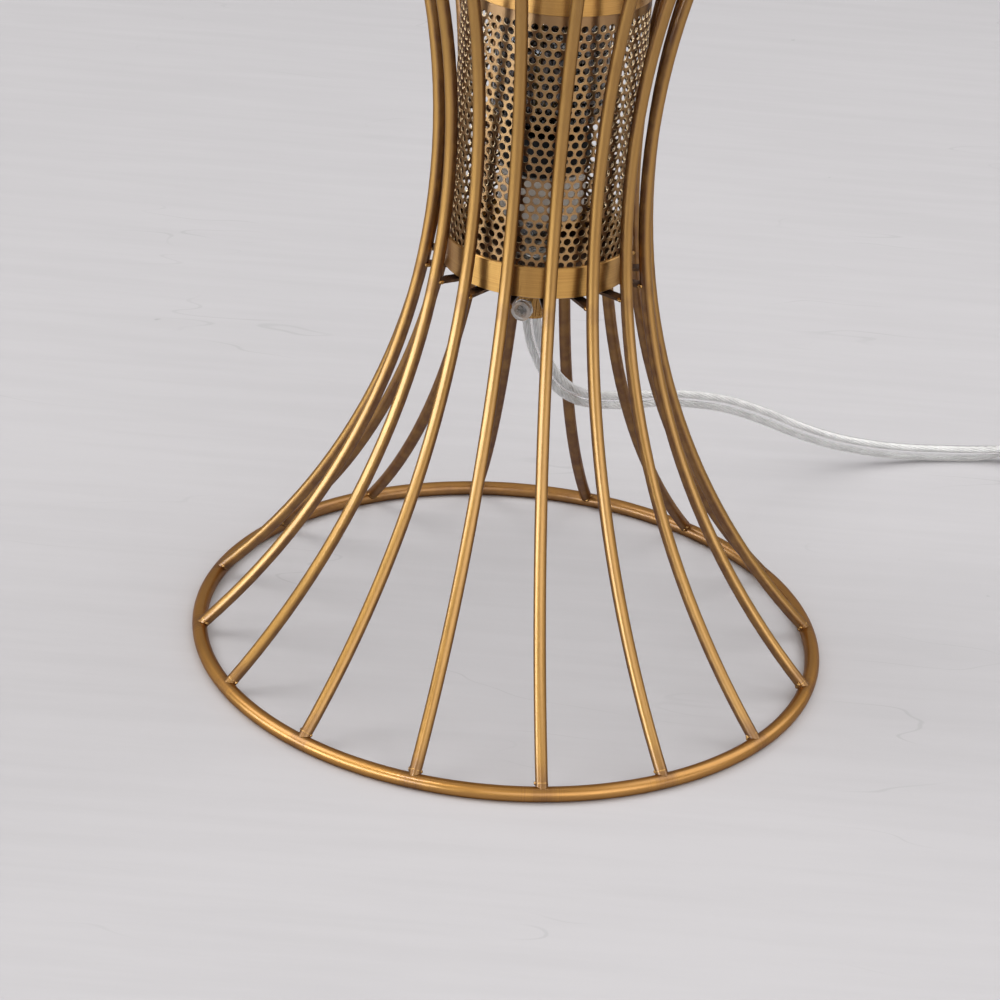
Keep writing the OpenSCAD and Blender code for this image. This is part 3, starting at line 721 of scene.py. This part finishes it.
class LAMP_OT_cord(bpy.types.Operator):
    """Lay the clear twin cord: its sleeve and the strands of its two wires"""

    bl_idname = "lamp.cord"
    bl_label = "Cord"

    def execute(self, context):
        sizes = context.scene.lamp_sizes
        sleeve = clear("clear_sleeve", (0.97, 0.97, 0.97), 0.12, ripple=0.1)
        strand = metal("tinned_strands", (0.96, 0.955, 0.94), 0.40, shade=0.86, bare=0.15)
        outline = twin_outline(sizes.cord_width, sizes.cord_thickness)
        reach = (sizes.cord_width - sizes.cord_thickness) / 2
        nodes = frame["nodes"]
        made = bpy.data.objects
        ends = {
            "lamp_cord": (["lamp_cord"], "fitting", "loose", [
                nodes["cord_grip"], nodes["set_screw"],
                *(made[n + "_rounded"] for n in ("switch_lower", "switch_upper", "switch_rocker"))]),
            "switch_cord": (["switch_cord", "cord_coil", "plug_cord"], "plug", "coiled", [
                made["plug_body_rounded"], made["plug_blades_rounded"]]),
        }
        for name, route, lay in cord_stretches(context.scene):
            solids, far_end, lie, on_it = ends[name]
            along = poses(route, lay)
            bm = bmesh.new()
            swept(bm, outline, along)
            piece = fresh(name + "_sleeve", bm, sleeve)
            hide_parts(*solids)
            strands = fresh(name + "_strands", strand_curves(name, along, reach), strand)
            tuple(route[0] * MM)
            round(sum((b - a).length for a, b in zip(route, route[1:])) * MM, 3)
            [tuple(p * MM) for p in route]
        return {"FINISHED"}


# Cage

def rod_bend(scene):
    """Radius of the arc that all rods are bent to."""
    sizes = scene.lamp_sizes
    drop = sizes.waist_height - sizes.ring_wire * 0.55
    inward = sizes.ring_radius - sizes.waist_radius
    return (drop * drop + inward * inward) / (2 * inward)


def rod_axis(scene, height):
    """Radius of a rod's axis at a height."""
    sizes = scene.lamp_sizes
    bend = rod_bend(scene)
    return sizes.waist_radius + bend - math.sqrt(bend ** 2 - (height - sizes.waist_height) ** 2)


def rod_turns(scene):
    """The rods' azimuths."""
    sizes = scene.lamp_sizes
    return [sizes.first_rod + 2 * math.pi * k / sizes.rods for k in range(sizes.rods)]


def wire_ring(name, material, node, radius, wire, flat=0.0):
    """A closed ring of round wire, ground flat at the lowest point of the node's box. The argument flat is not
    used.
    """
    low, high = box(node)
    centre = Vector((radius, 0, high.z - wire / 2))
    bm = bmesh.new()
    made = bmesh.ops.create_circle(bm, segments=40, radius=wire / 2, matrix=(
        Matrix.Translation(centre) @ Matrix.Rotation(math.pi / 2, 4, "X")))["verts"]
    for v in made:
        v.co.z = max(v.co.z, low.z)
    bmesh.ops.spin(bm, geom=made + bm.edges[:], cent=(0, 0, 0), axis=UP, angle=2 * math.pi,
                   steps=240, use_merge=True)
    bmesh.ops.remove_doubles(bm, verts=bm.verts, dist=1e-7)
    bmesh.ops.recalc_face_normals(bm, faces=bm.faces)
    piece = fresh(name, bm, material)
    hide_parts(node)
    return piece


class LAMP_OT_cage(bpy.types.Operator):
    """Make the two rings, and finish the bent rods"""

    bl_idname = "lamp.cage"
    bl_label = "Cage"

    def execute(self, context):
        scene = context.scene
        sizes = scene.lamp_sizes
        rods = worn_brass(scene, "rod_brass", rod_marks_and_shade(scene), rough=0.39)
        rings = worn_brass(scene, "ring_brass", ring_marks_and_shade(scene), rough=0.38,
                           drawn=ring_lines, tint=(1.12, 1.03, 0.90))
        for k in range(sizes.rods):
            dress("rod_%02d" % (k + 1), rods)
        wire_ring("base_ring_wire", rings, "base_ring", sizes.ring_radius, sizes.ring_wire)
        wire_ring("top_ring_wire", rings, "top_ring", sizes.top_ring_radius, sizes.ring_wire)
        return {"FINISHED"}


def foot_joint(bm, at, along, across, out, seed):
    """A low collar of braze at a rod's end, hardly wider than the rod, with small drops."""
    turn = Matrix((across, out, along)).transposed()
    lump(bm, at, [2.47 * MM, 2.47 * MM, 1.3 * MM], turn, seed, rough=0.04)
    for k, (angle, size) in enumerate(((118, 0.85), (12, 0.75), (172, 0.8))):
        sway = math.radians(angle + 22 * noise.noise(Vector((seed, k, 0.5))))
        place = at + (across * math.cos(sway) + out * math.sin(sway)) * 2.15 * MM
        lump(bm, place + along * (0.35 - 0.4 * k) * MM,
             [size * MM, size * 0.8 * MM, size * 1.1 * MM], turn, seed + k, rough=0.3)


class LAMP_OT_braze(bpy.types.Operator):
    """Melt the braze on the joints of the rods with the rings and with the bracket's arms"""

    bl_idname = "lamp.braze"
    bl_label = "Braze Beads"

    def execute(self, context):
        scene = context.scene
        sizes = scene.lamp_sizes
        braze = worn_brass(scene, "braze", lambda place: place.noise(300, 2.0).between(0.5, 0.8) * 0.7,
                           rough=0.28, grain=1.5)
        ring_low = box("base_ring")[1].z - sizes.ring_wire / 2
        ring_top = box("top_ring")[1].z - sizes.ring_wire / 2
        arm_low, arm_high = box("bracket")[0].z, box("bracket")[1].z
        step = 0.004
        bm = bmesh.new()
        for k, azimuth in enumerate(rod_turns(scene)):
            outward = Vector((math.cos(azimuth), math.sin(azimuth), 0))
            across = UP.cross(outward)
            for height, radius, way, aim in ((ring_low, sizes.ring_radius, -1, 0.6 * MM),
                                             (ring_top, sizes.top_ring_radius, 1, -0.6 * MM)):
                near = height - way * step
                slope = (rod_axis(scene, height) - rod_axis(scene, near)) * outward + UP * way * step
                along = slope.normalized()
                at = outward * radius + UP * (height + aim) - along * sizes.ring_wire * 0.56
                out = across.cross(along) * way
                foot_joint(bm, at, along, across, -out if way < 0 else out, k * 1.7 + way)
            middle = (arm_low + arm_high) / 2
            reach = rod_axis(scene, middle) - sizes.rod_thickness * 0.46
            for side in (-1, 1):
                size = 1.0 + 0.25 * noise.noise(Vector((k * 2.3, side * 5.1, 0.7)))
                place = outward * (reach + 0.2 * MM) + across * side * 1.9 * MM + UP * middle
                lump(bm, place, [1.3 * MM * size, 0.8 * MM * size, 0.9 * MM * size],
                     Matrix((outward, across, UP)).transposed(), k + side * 0.3, rough=0.25)
        fresh("braze_beads", bm, braze)
        return {"FINISHED"}


# Light tube

def hole_sheet(bm, pitch, hole, columns, rows):
    """A flat staggered pattern of round holes, each in its own six-sided cell."""
    rise = pitch * math.sqrt(3) / 2
    inner = bmesh.ops.create_circle(bm, segments=12, radius=hole / 2)["verts"]
    outer = bmesh.ops.create_circle(bm, segments=12, radius=pitch / 2)["verts"]
    for v in outer:
        turn = math.degrees(math.atan2(v.co.y, v.co.x))
        if round((turn - 90) / 30) % 2 == 0:
            v.co *= 2 / math.sqrt(3)
    bmesh.ops.bridge_loops(bm, edges=bm.edges[:])
    cell = bm.verts[:] + bm.edges[:] + bm.faces[:]
    bmesh.ops.spin(bm, geom=cell, cent=(0, 0, 0), axis=UP, dvec=(pitch, 0, 0), angle=0,
                   steps=columns - 1, use_duplicate=True)
    row = bm.verts[:] + bm.edges[:] + bm.faces[:]
    for k in range(1, rows):
        copy = bmesh.ops.duplicate(bm, geom=row)["geom"]
        bmesh.ops.translate(bm, vec=(pitch / 2 * (k % 2), rise * k, 0),
                            verts=[v for v in copy if isinstance(v, bmesh.types.BMVert)])
    bmesh.ops.remove_doubles(bm, verts=bm.verts, dist=pitch * 0.01)


class LAMP_OT_tube(bpy.types.Operator):
    """Roll the perforated tube with its real pattern of holes, and finish its bands"""

    bl_idname = "lamp.tube"
    bl_label = "Perforated Tube"

    def execute(self, context):
        scene = context.scene
        sizes = scene.lamp_sizes
        low, high = box("perforated_tube")
        wall = 0.6 * MM
        radius = high.x
        pitch = 2 * math.pi * radius / sizes.hole_columns
        rise = pitch * math.sqrt(3) / 2
        start = 3.4 * MM
        rows = int((high.z - low.z - start - 10.5 * MM) / rise) + 1
        bm = bmesh.new()
        hole_sheet(bm, pitch, pitch * sizes.hole_share, sizes.hole_columns, rows)
        for v in bm.verts:
            turn = v.co.x / radius
            v.co = Vector((radius * math.sin(turn), -radius * math.cos(turn), low.z + start + v.co.y))
        bmesh.ops.remove_doubles(bm, verts=bm.verts, dist=pitch * 0.01)
        ends = [e for e in bm.edges if e.is_boundary and e.calc_length() > pitch * 0.27]
        for v in (v for v in bmesh.ops.extrude_edge_only(bm, edges=ends)["geom"]
                  if isinstance(v, bmesh.types.BMVert)):
            v.co.z = low.z if v.co.z < (low.z + high.z) / 2 else high.z
        bmesh.ops.recalc_face_normals(bm, faces=bm.faces)
        outward = sum(f.normal.x * f.calc_center_median().x for f in bm.faces)
        if outward < 0:
            bmesh.ops.reverse_faces(bm, faces=bm.faces)
        bmesh.ops.solidify(bm, geom=bm.faces[:], thickness=wall)
        piece = fresh("perforated_sheet", bm, sheet_brass(scene, "sheet_brass", wall))
        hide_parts("perforated_tube")
        brushed = brushed_brass(scene, "brushed_brass")
        dress("band", brushed)
        dress("tube_rim", brushed)
        return {"FINISHED"}


class LAMP_OT_bracket(bpy.types.Operator):
    """Finish the bracket and the cup's floor"""

    bl_idname = "lamp.bracket"
    bl_label = "Bracket"

    def execute(self, context):
        # The bracket and the cup's floor get the bronze that is painted dark as shade.
        bronze = dark_bronze(context.scene)
        dress("bracket", bronze)
        dress("cup_floor", bronze)
        return {"FINISHED"}


# Lampholder and bulb

def threaded(bm, pitch, depth, low, high):
    """Cut a round thread into the outer face of a turned piece, between two heights."""
    for v in bm.verts:
        radius = math.hypot(v.co.x, v.co.y)
        fade = max(0.0, min(1.0, (v.co.z - low) / pitch, (high - v.co.z) / pitch))
        if radius > 1e-6 and fade > 0:
            turn = math.atan2(v.co.y, v.co.x)
            wave = math.cos(2 * math.pi * v.co.z / pitch - turn) * 0.5 - 0.5
            scale = 1 + fade * depth * wave / radius
            v.co.x *= scale
            v.co.y *= scale


def steps_between(low, high, step):
    """Even heights from low to high, about step apart."""
    count = max(2, round((high - low) / step))
    return [low + (high - low) * k / count for k in range(count + 1)]


class LAMP_OT_holder(bpy.types.Operator):
    """Make the threaded nipple, and finish the nut, the holder and its terminals"""

    bl_idname = "lamp.holder"
    bl_label = "Lampholder"

    def execute(self, context):
        nickel = metal("nickel", (0.62, 0.60, 0.56), 0.26)
        steel = metal("zinc_steel", (0.46, 0.45, 0.43), 0.34)
        brass = metal("screw_brass", (0.72, 0.50, 0.20), 0.22)
        glaze = moulding("white_glaze", (0.72, 0.67, 0.61), 0.22)
        wire = moulding("wire_coat", (0.60, 0.60, 0.58), 0.30)
        low, high = box("nipple")
        bm = bmesh.new()
        heights = [z / MM for z in steps_between(low.z, high.z, 0.2 * MM)]
        turned(bm, [(3.9, heights[0])] + [(5.0, z) for z in heights] + [(3.9, heights[-1])], 48, True)
        threaded(bm, 1.0 * MM, 0.45 * MM, low.z, high.z)
        nipple = fresh("nipple_thread", bm, steel)
        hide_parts("nipple")
        for node in ("locknut", "holder_cap", "screw_shell"):
            dress(node, nickel)
        dress("terminal_screws", brass)
        dress("centre_contact", brass)
        dress("holder_body", glaze)
        dress("lead_wires", wire)
        return {"FINISHED"}


class LAMP_OT_bulb(bpy.types.Operator):
    """Make the bulb: its threaded cap and its blown glass, and finish what is inside"""

    bl_idname = "lamp.bulb"
    bl_label = "Bulb"

    def execute(self, context):
        cap_low, cap_high = box("bulb_cap")
        collar_low, collar_high = box("bulb_collar")
        low, high = box("bulb_glass")
        globe = high.x
        centre = high.z - globe
        neck = cap_high.x - 0.7 * MM
        neck_top = collar_high.z + 0.4 * MM
        outline = [(neck, low.z + 0.7 * MM)]
        outline += [(neck + (globe - neck) * ease(k / 12), neck_top + 8 * MM * k / 12) for k in range(13)]
        outline += [(globe * math.cos(math.pi * k / 64), centre + globe * math.sin(math.pi * k / 64))
                    for k in range(32)] + [(0, high.z)]
        bm = bmesh.new()
        turned(bm, [(r / MM, z / MM) for r, z in outline], 128)
        bmesh.ops.solidify(bm, geom=bm.faces[:], thickness=0.6 * MM)
        glass = clear("bulb_smoke", (0.26, 0.24, 0.23), 0.03, 1.46, gloss=0.2)
        shell = fresh("bulb_shell", bm, glass, body="bulb")
        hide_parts("bulb_glass")
        radius, foot, top = collar_high.x / MM, collar_low.z / MM, collar_high.z / MM
        bore, ledge = cap_high.x / MM + 0.05, cap_high.z / MM + 0.05
        bm = bmesh.new()
        turned(bm, [(bore, foot), (radius - 1, foot), (radius, foot + 1), (radius, top - 2.5),
                    (radius - 1.6, top), (bore - 0.7, top), (bore - 0.7, ledge), (bore, ledge)], 96, True)
        soften(bm, 0.3 * MM)
        collar = fresh("bulb_collar_rounded", bm, moulding("black_plastic", (0.012, 0.011, 0.011), 0.5, gloss=0.15),
                       body="bulb")
        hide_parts("bulb_collar")
        nickel = metal("cap_nickel", (0.70, 0.68, 0.63), 0.20)
        bm = bmesh.new()
        heights = [z / MM for z in steps_between(cap_low.z, cap_high.z, 0.25 * MM)]
        radius = cap_high.x / MM
        turned(bm, [(radius - 0.62, heights[0])] + [(radius, z) for z in heights]
               + [(radius - 0.62, heights[-1])], 96, True)
        threaded(bm, 3.63 * MM, 0.35 * MM, cap_low.z, cap_high.z)
        cap = fresh("bulb_cap_thread", bm, nickel, body="bulb")
        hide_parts("bulb_cap")
        dress("bulb_stem", glass)
        dress("bulb_insulator", moulding("black_glass", (0.02, 0.02, 0.024), 0.12))
        dress("bulb_contact", metal("solder", (0.55, 0.55, 0.54), 0.38))
        dress("filaments", moulding("phosphor", (0.85, 0.60, 0.12), 0.5))
        return {"FINISHED"}


class LAMP_OT_ball(bpy.types.Operator):
    """Make the polished crystal ball"""

    bl_idname = "lamp.ball"
    bl_label = "Crystal Ball"

    def execute(self, context):
        low, high = box("crystal_ball")
        bm = bmesh.new()
        bmesh.ops.create_icosphere(bm, subdivisions=7, radius=(high.z - low.z) / 2,
                                   matrix=Matrix.Translation((low + high) / 2))
        crystal = clear("crystal", (0.985, 0.99, 0.99), 0.0, 1.52)
        ball = fresh("crystal_sphere", bm, crystal, body="ball", smooth=math.pi)
        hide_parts("crystal_ball")
        return {"FINISHED"}


class LAMP_OT_grip(bpy.types.Operator):
    """Finish the ribbed cord grip and its clear set screw"""

    bl_idname = "lamp.grip"
    bl_label = "Cord Grip"

    def execute(self, context):
        dress("cord_grip", worn_brass(context.scene, "grip_brass", lambda place: (
            place.noise(200, 2.0).between(0.55, 0.8) * 0.3), rough=0.30))
        low, high = box("set_screw")
        way = context.scene.lamp_sizes.screw_turn
        face = Vector((math.sin(way), -math.cos(way), 0)) * 13 * MM + UP * (low.z + high.z) / 2
        nylon = clear("clear_nylon", (0.93, 0.93, 0.92), 0.07, 1.5, ripple=0.3, through=0.72)
        # Painted shade: the middle of the screw's head is a darker grey than its rim.
        place = Shade(nylon.node_tree).place()
        painted_shade_core = place.node("ShaderNodeVectorMath", {"operation": "DISTANCE"}, {0: place, 1: face}, output=1)
        tone = painted_shade_core.between(2.2 * MM, 2.9 * MM).mix(colour((0.52, 0.51, 0.49)), colour((0.93, 0.93, 0.92)))
        nylon.node_tree.links.new(tone.out, nylon.node_tree.nodes["Principled BSDF"].inputs["Base Color"])
        dress("set_screw", nylon)
        return {"FINISHED"}


class LAMP_OT_switch(bpy.types.Operator):
    """Round the edges of the cord switch and the plug, and finish them"""

    bl_idname = "lamp.switch"
    bl_label = "Switch and Plug"

    def execute(self, context):
        white = moulding("white_moulding", (0.70, 0.70, 0.68), 0.32)
        black = moulding("black_moulding", (0.03, 0.03, 0.032), 0.35)
        for node, offset, material, slot, body in (
                ("switch_lower", 0.7, white, "white_plastic", "stand"),
                ("switch_upper", 0.7, white, "white_plastic", "stand"),
                ("switch_rocker", 0.35, black, "black_plastic", "rocker"),
                ("plug_body", 1.4, white, "white_plastic", "stand"),
                ("plug_blades", 0.3, metal("blade_nickel", (0.66, 0.64, 0.60), 0.22), "nickel", "stand")):
            bm = merged_copy(node)
            soften(bm, offset * MM)
            piece = fresh(node + "_rounded", bm, material, body=body)
            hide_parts(node)
        return {"FINISHED"}


# Stage

class LAMP_OT_camera(bpy.types.Operator):
    """Set the camera at the height, distance and small roll of a product photograph"""

    bl_idname = "lamp.camera"
    bl_label = "Camera"

    def execute(self, context):
        pitch = math.radians(27.31)
        roll = math.radians(4.416)
        distance = 1.3604
        aim_side = 0.00271
        aim_up = -0.05263
        ring_centre = Vector((0, 0, 0.0027))
        ahead = Vector((0, math.cos(pitch), -math.sin(pitch)))
        right = Vector((1, 0, 0))
        upward = right.cross(ahead)
        side = right * math.cos(roll) + upward * math.sin(roll)
        up = upward * math.cos(roll) - right * math.sin(roll)
        place = ring_centre - ahead * distance - side * aim_side - up * aim_up
        data = bpy.data.cameras.new("camera")
        data.sensor_width = 36
        data.lens = 119.83
        data.clip_start = 0.05
        camera = bpy.data.objects.new("camera", data)
        matrix = Matrix((side, up, -ahead)).transposed().to_4x4()
        matrix.translation = place
        camera.matrix_world = matrix
        context.scene.collection.objects.link(camera)
        context.scene.camera = camera
        return {"FINISHED"}


class LAMP_OT_studio(bpy.types.Operator):
    """Set the pale floor, the soft lamps and the plain surroundings"""

    bl_idname = "lamp.studio"
    bl_label = "Studio"

    def execute(self, context):
        scene = context.scene
        bm = bmesh.new()
        bmesh.ops.create_grid(bm, x_segments=1, y_segments=1, size=6)
        mesh = bpy.data.meshes.new("floor")
        bm.to_mesh(mesh)
        bm.free()
        floor = bpy.data.objects.new("floor", mesh)
        scene.collection.objects.link(floor)
        mesh.materials.append(floor_board(scene))
        cool, plain = (0.90, 1.0, 1.16), (1.0, 1.0, 1.0)
        for name, place, size, power, tint in (
                ("left_strip", (-0.84, -0.58, 0.16), (1.50, 0.30), 9.5, cool),
                ("right_strip", (0.78, -0.68, 0.16), (0.95, 0.30), 1.4, plain),
                ("high_strip", (-0.75, -0.97, 1.6), (0.36, 0.36), 8, plain),
                ("front_lamp", (0.9, -1.9, 1.1), (2.2, 1.4), 18, plain),
                ("left_lamp", (-1.6, 0.1, 1.8), (1.4, 1.4), 23, plain),
                ("right_lamp", (1.7, 0.4, 1.8), (2.2, 2.2), 26, plain),
                ("top_lamp", (0, -0.1, 2.2), (5.0, 5.0), 84, plain)):
            data = bpy.data.lights.new(name, "AREA")
            data.color = tint
            data.shape = "RECTANGLE"
            data.size, data.size_y = size
            data.energy = power
            light = bpy.data.objects.new(name, data)
            light.location = place
            aim = Vector((0, 0, 0.15)) - Vector(place)
            light.rotation_euler = aim.to_track_quat("-Z", "Y").to_euler()
            if name.endswith("strip"):
                light.visible_diffuse = False
                light.visible_transmission = False
            if name == "top_lamp":
                light.visible_glossy = False
            scene.collection.objects.link(light)
        world = bpy.data.worlds.new("studio")
        world.use_nodes = True
        tree = world.node_tree
        tree.nodes["Background"].inputs["Color"].default_value = colour(BACKDROP)
        strength = seen(tree).between(0.0, 1.0, 0.22, 1.0)
        tree.links.new(strength.out, tree.nodes["Background"].inputs["Strength"])
        scene.world = world
        scene.view_settings.view_transform = "Standard"
        return {"FINISHED"}


class LAMP_PT_panel(bpy.types.Panel):
    """The lamp's pieces, in the order in which they are made"""

    bl_label = "Table Lamp"
    bl_space_type = "VIEW_3D"
    bl_region_type = "UI"
    bl_category = "Lamp"

    def draw(self, context):
        for step in STEPS:
            self.layout.operator(step.bl_idname)


STEPS = (LAMP_OT_camera, LAMP_OT_switch, LAMP_OT_cord, LAMP_OT_cage, LAMP_OT_braze, LAMP_OT_bracket, LAMP_OT_tube,
         LAMP_OT_holder, LAMP_OT_bulb, LAMP_OT_ball, LAMP_OT_grip, LAMP_OT_studio)
CLASSES = (LampSizes, LampColours, *STEPS, LAMP_PT_panel)


def register():
    for item in CLASSES:
        bpy.utils.register_class(item)
    bpy.types.Scene.lamp_sizes = PointerProperty(type=LampSizes)
    bpy.types.Scene.lamp_colours = PointerProperty(type=LampColours)


def unregister():
    del bpy.types.Scene.lamp_colours
    del bpy.types.Scene.lamp_sizes
    for item in reversed(CLASSES):
        bpy.utils.unregister_class(item)


def main():
    register()
    for step in STEPS:
        group, name = step.bl_idname.split(".")
        getattr(getattr(bpy.ops, group), name)()


if __name__ == "__main__":
    main()
